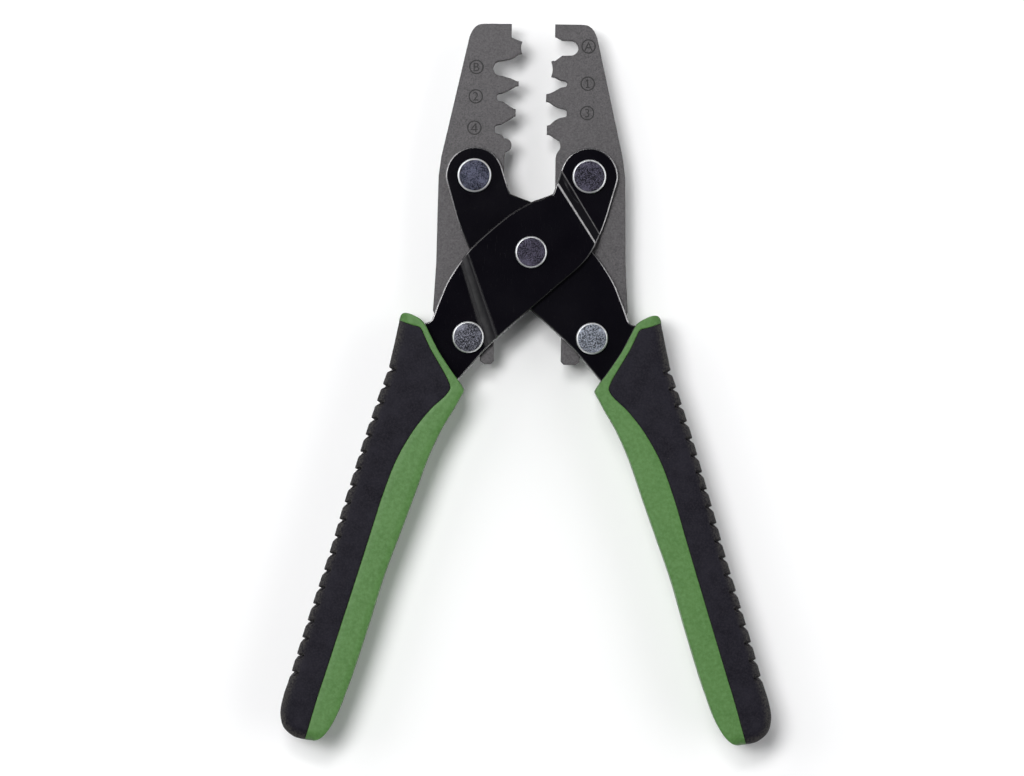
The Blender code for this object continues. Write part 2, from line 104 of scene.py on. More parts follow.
# Two characters of the builder's own, about the middle of their mark: the outline, then its hole
GLYPHS = {"1": (((-0.6, -1.25), (0.6, -1.25), (0.6, -0.95), (0.17, -0.95), (0.17, 1.25), (-0.1, 1.25),
                 (-0.65, 0.85), (-0.65, 0.5), (-0.17, 0.8), (-0.17, -0.95), (-0.6, -0.95)),),
          "4": (((0.25, -1.25), (0.6, -1.25), (0.6, -0.73), (1.0, -0.73), (1.0, -0.43), (0.6, -0.43),
                 (0.6, 1.25), (0.2, 1.25), (-1.0, -0.45), (-1.0, -0.7), (0.25, -0.7)),
                ((0.25, -0.4), (-0.6, -0.4), (0.25, 0.8)))}
JAW_MARKS = {"left_jaw": (("B", -16.4, 53.6), ("2", -16.5, 45.1), ("4", -16.8, 36.0)),
             "right_jaw": (("A", 16.0, 59.9), ("1", 15.9, 49.1), ("3", 15.8, 40.6))}
UPPER_RAMP = (((8.8, 23.3), (19.7, 5.6)), ((8.0, 19.1), (18.7, 2.6)))
UPPER_BENDS = (0.05, 0.15)
LOWER_RAMP = (((-14.2, -20.7), (-20.0, -2.3)), ((-10.3, -24.3), (-18.3, -1.6)))
LOWER_BENDS = (0.05, 0.15)

RIM = 0.62
RIM_ANGLES = (15, 35, 55, 75, 90)
FACE_MARGIN = 0.04
HEAD_THICKNESS = 1.3
SHANK_RADIUS = 2.6
# How far a head is out of round, as a share of its radius, in waves that turn from rivet to rivet
RIVET_WOBBLE = 0.0012
WOBBLE_WAVES = (2, 3, 5, 7, 11)
WOBBLE_TURN = 1.3
# Each large rivet's body, and the dark and light shades of its pressed face
# The faces are painted light and shade: one steel, set brighter or darker for how the light falls on each
# rivet
RIVETS = {"upper_left_rivet": ("right_handle", (0.003, 0.0033, 0.006), (0.055, 0.058, 0.086)),
          "upper_right_rivet": ("left_handle", (0.002, 0.002, 0.0035), (0.044, 0.041, 0.060)),
          "centre_rivet": ("left_handle", (0.002, 0.0018, 0.0035), (0.044, 0.040, 0.060)),
          "lower_left_rivet": ("left_handle", (0.005, 0.0053, 0.007), (0.092, 0.094, 0.115)),
          "lower_right_rivet": ("right_handle", (0.012, 0.013, 0.016), (0.190, 0.206, 0.243))}

# Softboxes: name, place and size in metres, watts. The keys stand off the zenith, which the black
# plates mirror to the camera, and the low panels light the rims from both sides.
SOFTBOXES = (("key", (-0.50, 0.26, 1.7), (0.45, 0.6), 15.5),
             ("top_key", (-0.22, 0.70, 1.65), (0.5, 0.35), 10.0),
             ("left_panel", (-1.0, 0.45, 0.75), (1.2, 0.9), 5.5),
             ("right_panel", (1.0, 0.05, 0.75), (1.4, 0.9), 5.5))
HORIZON = (0.3, 0.305, 0.31)
ZENITH = (0.02, 0.02, 0.023)
SKY_FADE = (0.5, 0.85)
FLOOR_SIZE = 8.0
FLOOR_PARTS = 24
FLOOR_GAP = 0.0002
CAMERA_DISTANCE = 1.4
CAMERA_TURN = 0.65
FRAME_WIDTH = 0.297
FRAME_CENTRE = Vector((-0.0055, -0.00075, CENTRE.z))

GRIP_HALF = (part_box("left_grip_core")[1].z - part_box("left_grip_core")[0].z) / 2 / MM
SHOULDER = 3.4
# The chamfer grows from CHAMFER_LEAD ribs above the corner, over CHAMFER_OVER ribs
CHAMFER = 0.6
CHAMFER_DROP = 0.1
CHAMFER_LEAD = 0.6
CHAMFER_OVER = 1.4
INNER_ROUND = 0.3
SEAM_GAP = 0.05
SEAM_ROUND = 0.25
CORE_PROUD = 0.12
# The seam opens from the lip's tip to this rib
TIP_CLOSED = 4
GROOVE_COUNT = 19
GROOVE_FIRST_Y = -34.4
GROOVE_LAST_Y = -122.4
# Depths in mm at offsets along the edge from a groove's middle: the notch, and the pit inside it
NOTCH = ((-1.15, 0.0), (-0.85, 0.08), (-0.6, 0.35), (-0.35, 0.75), (-0.15, 1.05), (0.05, 1.15), (0.25, 0.95),
         (0.45, 0.6), (0.62, 0.28), (0.85, 0.08), (1.15, 0.0))
PIT = ((-0.2, 0.0), (-0.05, 0.9), (0.15, 1.6), (0.5, 1.7), (0.8, 1.2), (0.98, 0.0))
# How much of each shows round the shoulder, by angle
NOTCH_REACH = ((50, 1.0), (70, 0.3), (76, 0.0))
PIT_REACH = ((32, 0.0), (45, 0.75), (53, 1.0), (68, 1.0), (76, 0.0))
# How far the outer edge runs down, in y, for each mm along it
EDGE_SLOPE = 0.965
# A quarter round of the seam's edges, as shares of its radius: across, and down from the face
QUARTER_ROUND = ((0.5, 0.13), (0.87, 0.5), (1.0, 1.0))
SHOULDER_ANGLES = (0, 10, 20, 32, 40, 45, 49, 53, 58, 63, 68, 72, 76, 80, 85, 90)

# Ribs of the left grip from the lip's tip to the butt: outer edge, seam, inner edge
RIBS = (
    ((-37.8, -20.15), (-37.75, -20.05), (-37.7, -19.7)),
    ((-37.85, -20.5), (-37.2, -20.3), (-37.35, -18.7)),
    ((-37.95, -21.0), (-36.4, -20.65), (-36.5, -18.0)),
    ((-38.15, -22.0), (-35.0, -21.15), (-35.1, -18.05)),
    ((-38.4, -23.0), (-33.4, -21.65), (-33.4, -18.7)),
    ((-38.6, -24.1), (-32.1, -21.95), (-31.6, -19.8)),
    ((-38.85, -25.2), (-31.3, -22.7), (-30.1, -21.6)),
    ((-39.2, -26.9), (-30.6, -24.2), (-29.1, -23.6)),
    ((-39.9, -30.0), (-28.8, -28.0), (-26.9, -27.9)),
    ((-40.6, -33.2), (-26.6, -31.8), (-24.8, -31.3)),
    ((-41.7, -36.6), (-24.6, -35.2), (-22.4, -34.8)),
    ((-42.75, -39.5), (-23.5, -37.3), (-20.7, -37.1)),
    ((-43.7, -42.3), (-22.9, -39.4), (-19.3, -39.3)),
    ((-44.5, -44.8), (-23.9, -41.3), (-19.0, -40.3)),
    ((-45.6, -48.2), (-25.6, -43.0), (-19.8, -41.8)),
    ((-46.8, -51.8), (-28.6, -45.8), (-22.1, -46.0)),
    ((-48.9, -58.6), (-33.4, -51.9), (-25.4, -51.6)),
    ((-51.3, -66.8), (-38.2, -60.4), (-29.2, -60.0)),
    ((-53.9, -75.5), (-42.1, -70.8), (-33.1, -71.0)),
    ((-57.0, -86.5), (-45.6, -82.3), (-36.9, -81.5)),
    ((-60.9, -99.0), (-49.6, -95.3), (-41.6, -94.5)),
    ((-64.9, -112.0), (-53.7, -108.5), (-45.7, -108.2)),
    ((-68.4, -123.8), (-57.9, -122.0), (-50.1, -122.1)),
    ((-69.9, -128.3), (-59.7, -127.6), (-52.1, -127.8)),
    ((-70.9, -133.4), (-61.4, -133.4), (-54.4, -133.9)),
    ((-70.0, -137.8), (-62.7, -138.0), (-56.8, -138.4)),
    ((-67.2, -140.4), (-63.4, -140.4), (-59.2, -140.9)),
    ((-64.9, -141.2), (-63.7, -141.4), (-61.5, -141.7)),
)
CORNER_RIB = 12
# Interpolated ribs for each rib above: on the edge paths, the collar and the core
PATH_DENSITY = 30
COLLAR_DENSITY = 7
CORE_DENSITY = 8
# Ribs from the last groove to the butt, and in mm from a groove's middle those before the next one
BUTT_RIBS = 40
BETWEEN_GROOVES = [2.0, 2.9]
# Where two ribs of the cover are nearer than this share of a rib, only the first is kept
CLOSEST_PLACES = 0.004
POCKET = ((-31.5, -21.0), (-34.0, -27.5), (-38.4, -42.0), (-50.9, -89.0), (-50.0, -94.0), (-45.6, -94.0),
          (-33.4, -60.0), (-26.0, -47.0), (-20.7, -38.3), (-19.4, -36.8), (-12.5, -29.0), (-24.0, -13.5),
          (-30.8, -19.2))
POCKET_HALF = 4.8


# ---------------------------------------------------------------- small geometry helpers

def to_world(x, y, z=0.0):
    """A point in mm from the centre rivet, in the frame's metres."""
    return Vector((x * MM, y * MM, z * MM)) + CENTRE


def sided(points, side):
    return [(x * side, y) for x, y in points]


def circle(centre, radius, count):
    angles = [2 * math.pi * i / count for i in range(count)]
    return [(centre[0] + radius * math.cos(a), centre[1] + radius * math.sin(a)) for a in angles]


def loop_area(loop):
    return sum(x0 * y1 - x1 * y0 for (x0, y0), (x1, y1) in zip(loop, loop[1:] + loop[:1])) / 2


def smoothstep(t):
    t = min(max(t, 0.0), 1.0)
    return t * t * (3 - 2 * t)


def refined(loop, corner=28.0, longest=6.0):
    """More points on a loop's round stretches; corners and long straight runs stay as they are."""
    points = [Vector(p) for p in loop]
    for _ in range(REFINE_ROUNDS):
        count = len(points)
        sharp = []
        for i in range(count):
            before = points[i] - points[i - 1]
            after = points[(i + 1) % count] - points[i]
            short, long = sorted((before.length, after.length))
            sharp.append(before.angle(after) > math.radians(corner) or long > min(longest, 3 * short))
        finer = []
        for i in range(count):
            a, b = points[i], points[(i + 1) % count]
            before = 2 * a - b if sharp[i] else points[i - 1]
            after = 2 * b - a if sharp[(i + 1) % count] else points[(i + 2) % count]
            finer += [a, (9 * (a + b) - before - after) / 16]
        points = finer
    return [tuple(p) for p in points]


def plan_loops(node):
    """The outline and holes of a flat CAD plate, outline first, in mm from the centre rivet."""
    bm = bmesh.new()
    bm.from_mesh(frame["nodes"][node].data)
    bmesh.ops.remove_doubles(bm, verts=bm.verts, dist=SLIVER)
    top = max(v.co.z for v in bm.verts)
    # A dict keeps the faces in order, which a set doesn't, so each run starts its loops at the same points
    caps = dict.fromkeys(f for f in bm.faces if all(abs(v.co.z - top) < LEVEL for v in f.verts))
    follow = {}
    for face in caps:
        for loop in face.loops:
            if sum(f in caps for f in loop.edge.link_faces) == 1:
                follow[loop.vert] = loop.link_loop_next.vert
    loops = []
    while follow:
        vert, after = follow.popitem()
        points = [vert]
        while after is not points[0]:
            points.append(after)
            after = follow.pop(after)
        loops.append([((v.co.x - CENTRE.x) / MM, (v.co.y - CENTRE.y) / MM) for v in points])
    bm.free()
    return sorted(loops, key=lambda loop: -abs(loop_area(loop)))


# ---------------------------------------------------------------- mesh builders

def new_object(name, mesh):
    obj = bpy.data.objects.new(name, mesh)
    bpy.context.scene.collection.objects.link(obj)
    return obj


def tidy_mesh(mesh, sharp_angle=40.0):
    """Weld seams, face outwards and keep only real edges sharp."""
    bm = bmesh.new()
    bm.from_mesh(mesh)
    bmesh.ops.remove_doubles(bm, verts=bm.verts, dist=SLIVER / 2)
    bmesh.ops.recalc_face_normals(bm, faces=bm.faces)
    if bm.calc_volume(signed=True) < 0:
        bmesh.ops.reverse_faces(bm, faces=bm.faces)
    bm.to_mesh(mesh)
    bm.free()
    mesh.shade_smooth()
    mesh.set_sharp_from_angle(angle=math.radians(sharp_angle))


def extruded(name, loops, low, high, rounding=0.0):
    """A plate in the frame from outlines in mm, with rounded rims."""
    curve = bpy.data.curves.new(name, "CURVE")
    curve.dimensions = "2D"
    curve.fill_mode = "BOTH"
    curve.extrude = ((high - low) / 2 - rounding) * MM
    curve.bevel_depth = rounding * MM
    curve.bevel_resolution = RIM_STEPS
    curve.offset = -rounding * MM
    for loop in loops:
        spline = curve.splines.new("POLY")
        spline.points.add(len(loop) - 1)
        for point, (x, y) in zip(spline.points, loop):
            point.co = (x * MM, y * MM, 0, 1)
        spline.use_cyclic_u = True
    outline = new_object(name + "_outline", curve)
    graph = bpy.context.evaluated_depsgraph_get()
    mesh = bpy.data.meshes.new_from_object(outline.evaluated_get(graph))
    bpy.data.objects.remove(outline)
    mesh.transform(Matrix.Translation(to_world(0, 0, (low + high) / 2)))
    tidy_mesh(mesh)
    return new_object(name, mesh)


def drop_slivers(mesh):
    """Close the hairline gaps and faces without area that cuts leave."""
    bm = bmesh.new()
    bm.from_mesh(mesh)
    bmesh.ops.remove_doubles(bm, verts=bm.verts[:], dist=SLIVER)
    bmesh.ops.dissolve_degenerate(bm, edges=bm.edges[:], dist=SLIVER / 2)
    bm.to_mesh(mesh)
    bm.free()


def sharpen_caps(mesh):
    """Keep the flat faces of a plate flat: their borders with the rounded rim are sharp."""
    bm = bmesh.new()
    bm.from_mesh(mesh)
    bm.normal_update()
    for edge in bm.edges:
        flat = [abs(f.normal.z) > FLAT for f in edge.link_faces]
        if len(flat) == 2 and flat[0] != flat[1]:
            edge.smooth = False
    bm.to_mesh(mesh)
    bm.free()


def cut_away(obj, cutter):
    """Cut with the EXACT solver; the new walls take the cutter's material, and the cutter goes."""
    modifier = obj.modifiers.new("cut", "BOOLEAN")
    modifier.operation = "DIFFERENCE"
    modifier.solver = "EXACT"
    modifier.material_mode = "TRANSFER"
    modifier.object = cutter
    graph = bpy.context.evaluated_depsgraph_get()
    mesh = bpy.data.meshes.new_from_object(obj.evaluated_get(graph))
    obj.modifiers.clear()
    obj.data = mesh
    bpy.data.objects.remove(cutter)


def turned(name, profile, centre):
    """A body of revolution around an upright axis, from a profile in mm, top to bottom."""
    bm = bmesh.new()
    rings = []
    for radius, height in profile:
        if radius == 0:
            rings.append([bm.verts.new(centre + Vector((0, 0, height * MM)))])
            continue
        ring = []
        for i in range(TURN_STEPS):
            angle = 2 * math.pi * i / TURN_STEPS
            offset = Vector((radius * math.cos(angle), radius * math.sin(angle), height)) * MM
            ring.append(bm.verts.new(centre + offset))
        rings.append(ring)
    for upper, lower in zip(rings, rings[1:]):
        for i in range(TURN_STEPS):
            j = (i + 1) % TURN_STEPS
            corners = [row[k % len(row)] for row, k in ((upper, i), (lower, i), (lower, j), (upper, j))]
            corners = list(dict.fromkeys(corners))
            if len(corners) > 2:
                bm.faces.new(corners)
    mesh = bpy.data.meshes.new(name)
    bm.to_mesh(mesh)
    bm.free()
    tidy_mesh(mesh, 50.0)
    return new_object(name, mesh)


def lofted(name, rings):
    """A closed skin over rings of points in mm, capped at both ends."""
    bm = bmesh.new()
    rows = [[bm.verts.new(to_world(*p)) for p in ring] for ring in rings]
    count = len(rows[0])
    for upper, lower in zip(rows, rows[1:]):
        for i in range(count):
            j = (i + 1) % count
            bm.faces.new((upper[i], upper[j], lower[j], lower[i]))
    bm.faces.new(rows[0])
    bm.faces.new(rows[-1][::-1])
    mesh = bpy.data.meshes.new(name)
    bm.to_mesh(mesh)
    bm.free()
    tidy_mesh(mesh)
    return new_object(name, mesh)


def mirrored_copy(obj, name):
    """The same mesh on the other side of the tool's middle plane."""
    mesh = obj.data.copy()
    mesh.transform(Matrix.Diagonal((-1, 1, 1, 1)))
    mesh.flip_normals()
    return new_object(name, mesh)


# ---------------------------------------------------------------- materials

def add_node(tree, kind, inputs=None, **settings):
    """A node with its settings and inputs; an input is a value or another node's output."""
    made = tree.nodes.new(kind)
    for name, value in settings.items():
        setattr(made, name, value)
    for name, value in (inputs or {}).items():
        if isinstance(value, bpy.types.NodeSocket):
            tree.links.new(value, made.inputs[name])
        else:
            made.inputs[name].default_value = value
    return made


def new_material(name, metallic, specular=0.5):
    """A material with a Principled shader and its object coordinates."""
    material = bpy.data.materials.new(name)
    material.use_nodes = True
    tree = material.node_tree
    shader = tree.nodes["Principled BSDF"]
    shader.inputs["Metallic"].default_value = metallic
    shader.inputs["Specular IOR Level"].default_value = specular
    place = add_node(tree, "ShaderNodeTexCoord").outputs["Object"]
    return material, tree, shader, place


def noise(tree, place, size, detail, roughness=0.55):
    """Noise whose blobs are about a size in mm."""
    inputs = {"Vector": place, "Scale": 1 / (size * MM), "Detail": detail, "Roughness": roughness}
    return add_node(tree, "ShaderNodeTexNoise", inputs).outputs["Fac"]


def ranged(tree, value, low, high, to_low=0.0, to_high=1.0):
    """A value brought from one range to another, and kept inside it."""
    inputs = {"Value": value, "From Min": low, "From Max": high, "To Min": to_low, "To Max": to_high}
    return add_node(tree, "ShaderNodeMapRange", inputs).outputs["Result"]


def blended(tree, factor, first, second):
    """Two colours mixed; each is an RGB tuple or a colour output."""
    mix = add_node(tree, "ShaderNodeMix", data_type="RGBA")
    for index, value in ((0, factor), (6, first), (7, second)):
        if isinstance(value, bpy.types.NodeSocket):
            tree.links.new(value, mix.inputs[index])
        else:
            mix.inputs[index].default_value = (*value, 1) if index else value
    return mix.outputs[2]


def maths(tree, operation, *values):
    """A Math node on its values, each a number or a node's output."""
    return add_node(tree, "ShaderNodeMath", dict(enumerate(values)), operation=operation).outputs[0]


def summed(tree, first, second, weight):
    """first + second * weight."""
    return maths(tree, "MULTIPLY_ADD", second, weight, first)


def finish_shader(tree, shader, colour, roughness, height, bump_mm):
    """Connect colour, roughness and a bump of a real height in mm."""
    tree.links.new(colour, shader.inputs["Base Color"])
    tree.links.new(roughness, shader.inputs["Roughness"])
    bump = add_node(tree, "ShaderNodeBump", {"Height": height, "Distance": bump_mm * MM, "Strength": 1.0})
    tree.links.new(bump.outputs["Normal"], shader.inputs["Normal"])


def line_distance(tree, place, line, side):
    """The same distance in mm as line_side gives, as nodes, with the line mirrored for the right side."""
    start, end = Vector(line[0]), Vector(line[1])
    along = (end - start).normalized()
    across = Vector((along.y * side, -along.x, 0.0))
    offset = start.x * along.y - start.y * along.x + across.dot(CENTRE) / MM
    inputs = {0: place, 1: across / MM}
    reach = add_node(tree, "ShaderNodeVectorMath", inputs, operation="DOT_PRODUCT").outputs["Value"]
    return maths(tree, "SUBTRACT", reach, offset)


def share_node(tree, place, ramp, side):
    """What ramp_share gives, as nodes."""
    foot, head = ramp
    inwards = 1 if line_side(foot, *head[0]) > 0 else -1
    past_foot = line_distance(tree, place, foot, side)
    past_head = line_distance(tree, place, head, side)
    total = maths(tree, "SUBTRACT", past_foot, past_head)
    farther = "MAXIMUM" if inwards > 0 else "MINIMUM"
    width = maths(tree, farther, total, inwards * NARROWEST_RAMP)
    return maths(tree, "DIVIDE", past_foot, width)


def gap_node(tree, value, middle):
    """How far a value is from a middle, either way."""
    return maths(tree, "ABSOLUTE", maths(tree, "SUBTRACT", value, middle))


def flatness_node(tree):
    """1 where the surface faces straight up or down, 0 on its upright walls."""
    normal = add_node(tree, "ShaderNodeNewGeometry").outputs["True Normal"]
    upright = add_node(tree, "ShaderNodeSeparateXYZ", {"Vector": normal}).outputs["Z"]
    return maths(tree, "ABSOLUTE", upright)


def product(tree, first, second):
    """first * second."""
    return maths(tree, "MULTIPLY", first, second)


def black_oxide(name, side=0):
    """Glossy black plate finish with faint orange peel, scuffs and a few dust specks.

    With a side, it is the joggled plate's: painted highlights along the upper ramp's two bends, and a rougher
    lower ramp with a painted grey reflection across it.
    """
    material, tree, shader, place = new_material(name, 0.0, 0.15 if side else 0.4)
    stretched = add_node(tree, "ShaderNodeMapping", {"Vector": place, "Scale": (1.0, 0.12, 1.0)})
    scuffs = ranged(tree, noise(tree, stretched.outputs["Vector"], 0.25, 4.0), 0.62, 0.8)
    dust = ranged(tree, noise(tree, place, 0.35, 2.0), 0.76, 0.80)
    clouds = ranged(tree, noise(tree, place, 14.0, 3.0), 0.35, 0.7)
    colour = blended(tree, clouds, (0.0028, 0.0025, 0.0040), (0.0042, 0.0038, 0.0056))
    colour = blended(tree, scuffs, colour, (0.008, 0.0075, 0.009))
    colour = blended(tree, dust, colour, (0.03, 0.027, 0.027))
    roughness = summed(tree, ranged(tree, clouds, 0.0, 1.0, 0.06, 0.08), scuffs, 0.08)
    if side:
        upper = share_node(tree, place, UPPER_RAMP, side)
        lower = share_node(tree, place, LOWER_RAMP, side)
        uneven = ranged(tree, noise(tree, place, 2.0, 3.0), 0.3, 0.6, 0.6, 1.0)
        uneven = product(tree, uneven, ranged(tree, flatness_node(tree), 0.3, 0.6))
        # Painted reflection: a grey band across the lower ramp
        painted_ramp_reflection = product(tree, ranged(tree, lower, -0.1, 0.15), ranged(tree, lower, 0.3, 1.1, 1.0, 0.0))
        colour = blended(tree, product(tree, painted_ramp_reflection, uneven), colour, (0.046, 0.045, 0.047))
        # Painted highlights: thin bright lines along the upper ramp's foot and head bends
        painted_foot_highlight = ranged(tree, gap_node(tree, upper, 0.0), 0.03, 0.09, 0.8, 0.0)
        painted_head_highlight = ranged(tree, gap_node(tree, upper, 1.0), 0.05, 0.13, 1.0, 0.0)
        colour = blended(tree, product(tree, painted_foot_highlight, uneven), colour, (0.12, 0.117, 0.12))
        colour = blended(tree, product(tree, painted_head_highlight, uneven), colour, (0.36, 0.355, 0.36))
        roughness = summed(tree, roughness, ranged(tree, gap_node(tree, lower, 0.5), 0.7, 1.0, 1.0, 0.0), 0.3)
    finish_shader(tree, shader, colour, roughness, noise(tree, place, 1.1, 2.0), 0.003)
    return material


def worn_edge(name):
    """Plate edges, where wear has taken the black finish down to dark bright steel; near the centre rivet
    they are painted dark, as shade.
    """
    material, tree, shader, place = new_material(name, 1.0)
    wear_and_sheen = ranged(tree, noise(tree, place, 1.6, 4.0, 0.65), 0.35, 0.65)
    colour = blended(tree, wear_and_sheen, (0.22, 0.215, 0.22), (0.42, 0.415, 0.42))
    # Painted shade: the rims near the centre rivet are darkened
    ends = {0: place, 1: CENTRE}
    from_centre = add_node(tree, "ShaderNodeVectorMath", ends, operation="DISTANCE").outputs["Value"]
    past_rim_shade = ranged(tree, from_centre, RIM_SHADE_TO * MM, (RIM_SHADE_TO + RIM_SHADE_FADE) * MM)
    colour = blended(tree, past_rim_shade, (0.05, 0.0485, 0.05), colour)
    finish_shader(tree, shader, colour, ranged(tree, wear_and_sheen, 0.0, 1.0, 0.26, 0.18), wear_and_sheen, 0.004)
    return material


def phosphated_steel(name):
    """Fine-grained grey jaw steel with faint milling lines, pits and dark oily smudges."""
    material, tree, shader, place = new_material(name, 0.55)
    grain = noise(tree, place, 0.45, 6.0, 0.75)
    milling = add_node(tree, "ShaderNodeMapping", {"Vector": place, "Scale": (1.0, 0.06, 1.0)})
    lines = noise(tree, milling.outputs["Vector"], 0.5, 3.0)
    pits = ranged(tree, noise(tree, place, 0.55, 3.0, 0.6), 0.68, 0.76)
    smudges = ranged(tree, noise(tree, place, 7.0, 5.0, 0.62), 0.56, 0.72)
    colour = blended(tree, ranged(tree, grain, 0.32, 0.68), (0.018, 0.0168, 0.0182), (0.097, 0.092, 0.096))
    colour = blended(tree, ranged(tree, lines, 0.4, 0.7, 0.0, 0.12), colour, (0.082, 0.079, 0.082))
    colour = blended(tree, ranged(tree, smudges, 0.0, 1.0, 0.0, 0.45), colour, (0.018, 0.0175, 0.018))
    colour = blended(tree, pits, colour, (0.012, 0.0115, 0.012))
    roughness = summed(tree, ranged(tree, grain, 0.3, 0.7, 0.44, 0.58), smudges, -0.08)
    finish_shader(tree, shader, colour, roughness, summed(tree, grain, pits, -0.8), 0.02)
    return material


def stained_and_shaded_steel(name):
    """The engraved marks' floor and walls: dark with oil and dirt, and with painted shade."""
    material, tree, shader, place = new_material(name, 0.3)
    grain = noise(tree, place, 0.2, 4.0, 0.7)
    colour = blended(tree, ranged(tree, grain, 0.35, 0.65), (0.006, 0.0055, 0.006), (0.022, 0.021, 0.022))
    finish_shader(tree, shader, colour, ranged(tree, grain, 0.3, 0.7, 0.5, 0.7), grain, 0.02)
    return material


def rivet_steel(name, face_dark, face_light):
    """Bare rivet steel: a mottled grainy face, and a rim that the press left smooth."""
    material, tree, shader, place = new_material(name, 0.9)
    mottle = ranged(tree, noise(tree, place, 0.36, 3.0, 0.6), 0.42, 0.58)
    patches = ranged(tree, noise(tree, place, 3.4, 3.0, 0.6), 0.5, 0.72, 0.0, 0.8)
    face = ranged(tree, flatness_node(tree), 0.9, 0.99)
    colour = blended(tree, mottle, face_dark, face_light)
    colour = blended(tree, patches, colour, [1.5 * channel for channel in face_light])
    colour = blended(tree, face, (0.86, 0.87, 0.88), colour)
    grit = summed(tree, ranged(tree, face, 0.0, 1.0, 0.36, 0.3), mottle, 0.1)
    finish_shader(tree, shader, colour, grit, product(tree, mottle, face), 0.035)
    return material


def moulded_rubber(name):
    """Black grip plastic with a fine eroded texture, painted paler on its sloped faces as sheen."""
    material, tree, shader, place = new_material(name, 0.0, 0.08)
    texture = noise(tree, place, 0.55, 5.0, 0.7)
    clouds = ranged(tree, noise(tree, place, 6.0, 5.0, 0.65), 0.35, 0.66)
    specks = ranged(tree, noise(tree, place, 0.45, 2.0), 0.755, 0.79)
    # Painted sheen: the sloped shoulder and groove faces are paler, mottled by the texture
    sloped_sheen = ranged(tree, flatness_node(tree), 0.98, 0.75)
    colour = blended(tree, clouds, (0.0052, 0.0046, 0.0084), (0.0128, 0.0118, 0.0180))
    colour = blended(tree, ranged(tree, texture, 0.44, 0.62, 0.0, 0.6), colour, (0.0205, 0.0192, 0.0255))
    wear_and_sheen = product(tree, sloped_sheen, ranged(tree, texture, 0.38, 0.62))
    colour = blended(tree, wear_and_sheen, colour, (0.050, 0.047, 0.043))
    colour = blended(tree, specks, colour, (0.075, 0.062, 0.052))
    roughness = ranged(tree, texture, 0.3, 0.7, 0.52, 0.66)
    finish_shader(tree, shader, colour, roughness, texture, 0.05)
    return material


def moulded_green(name):
    """Green grip plastic, a little uneven in colour, with a fine satin texture."""
    material, tree, shader, place = new_material(name, 0.0, 0.22)
    texture = noise(tree, place, 0.34, 3.0, 0.6)
    clouds = ranged(tree, noise(tree, place, 9.0, 4.0, 0.6), 0.3, 0.7)
    flow = ranged(tree, noise(tree, place, 1.1, 5.0, 0.7), 0.38, 0.66)
    specks = ranged(tree, noise(tree, place, 0.5, 2.0), 0.76, 0.8)
    colour = blended(tree, clouds, (0.056, 0.143, 0.033), (0.070, 0.167, 0.043))
    colour = blended(tree, ranged(tree, flow, 0.0, 1.0, 0.0, 0.9), colour, (0.094, 0.208, 0.064))
    colour = blended(tree, specks, colour, (0.05, 0.085, 0.04))
    roughness = ranged(tree, texture, 0.3, 0.7, 0.40, 0.54)
    finish_shader(tree, shader, colour, roughness, texture, 0.022)
    return material


def floor_paint(name):
    """Matte pale studio floor."""
    material, tree, shader, place = new_material(name, 0.0, 0.1)
    colour = blended(tree, noise(tree, place, 300.0, 2.0), (0.925, 0.925, 0.93), (0.94, 0.94, 0.94))
    roughness = ranged(tree, noise(tree, place, 60.0, 2.0), 0.3, 0.7, 0.92, 0.98)
    finish_shader(tree, shader, colour, roughness, noise(tree, place, 2.0, 2.0), 0.001)
    return material


# ---------------------------------------------------------------- plates

def add_piece(obj, body, slot, material, *nodes):
    """Dress a new piece, unless it has its materials, and let it stand for its CAD nodes."""
    if material:
        obj.data.materials.clear()
        obj.data.materials.append(material)
    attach(obj, body)
    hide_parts(*nodes)
    return obj


def character(label, x, y, low, high):
    """A solid character between two levels, from GLYPHS or else of the plain built-in font."""
    if label in GLYPHS:
        loops = [[(x + u, y + v) for u, v in loop] for loop in GLYPHS[label]]
        return extruded("label_cutter", loops, low, high)
    text = bpy.data.curves.new("label", "FONT")
    text.body = label
    text.size = MARK_TEXT * MM
    text.extrude = (high - low) / 2 * MM
    outline = new_object("label", text)
    graph = bpy.context.evaluated_depsgraph_get()
    mesh = bpy.data.meshes.new_from_object(outline.evaluated_get(graph))
    bpy.data.objects.remove(outline)
    corners = np.array([v.co for v in mesh.vertices])
    middle = Vector((corners.min(axis=0) + corners.max(axis=0)) / 2)
    mesh.transform(Matrix.Translation(to_world(x, y, (low + high) / 2) - middle))
    tidy_mesh(mesh)
    return new_object("label_cutter", mesh)


def make_jaw(node, material, mark_material):
    """One jaw plate with its nests, rounded edges and engraved die marks."""
    loops = plan_loops(node)
    low, high = node_heights(node)
    fine = [refined(loops[0], corner=24.0, longest=3.0)] + [refined(loop) for loop in loops[1:]]
    jaw = extruded(node.replace("jaw", "jaw_plate"), fine, low, high, JAW_EDGE)
    jaw.data.materials.append(material)
    for label, x, y in JAW_MARKS[node]:
        ring = [circle((x, y), radius, MARK_POINTS) for radius in (MARK_RADIUS, MARK_RADIUS - MARK_LINE)]
        for cutter in (extruded("ring", ring, high - MARK_DEPTH, high + MARK_DEPTH),
                       character(label, x, y, high - MARK_DEPTH, high + MARK_DEPTH)):
            cutter.data.materials.append(mark_material)
            cut_away(jaw, cutter)
    sharpen_caps(jaw.data)
    return add_piece(jaw, node, "jaw_steel", None, node)


def line_side(line, x, y):
    """Distance from a line, positive to the right of its direction."""
    start, end = Vector(line[0]), Vector(line[1])
    along = (end - start).normalized()
    return (x - start.x) * along.y - (y - start.y) * along.x


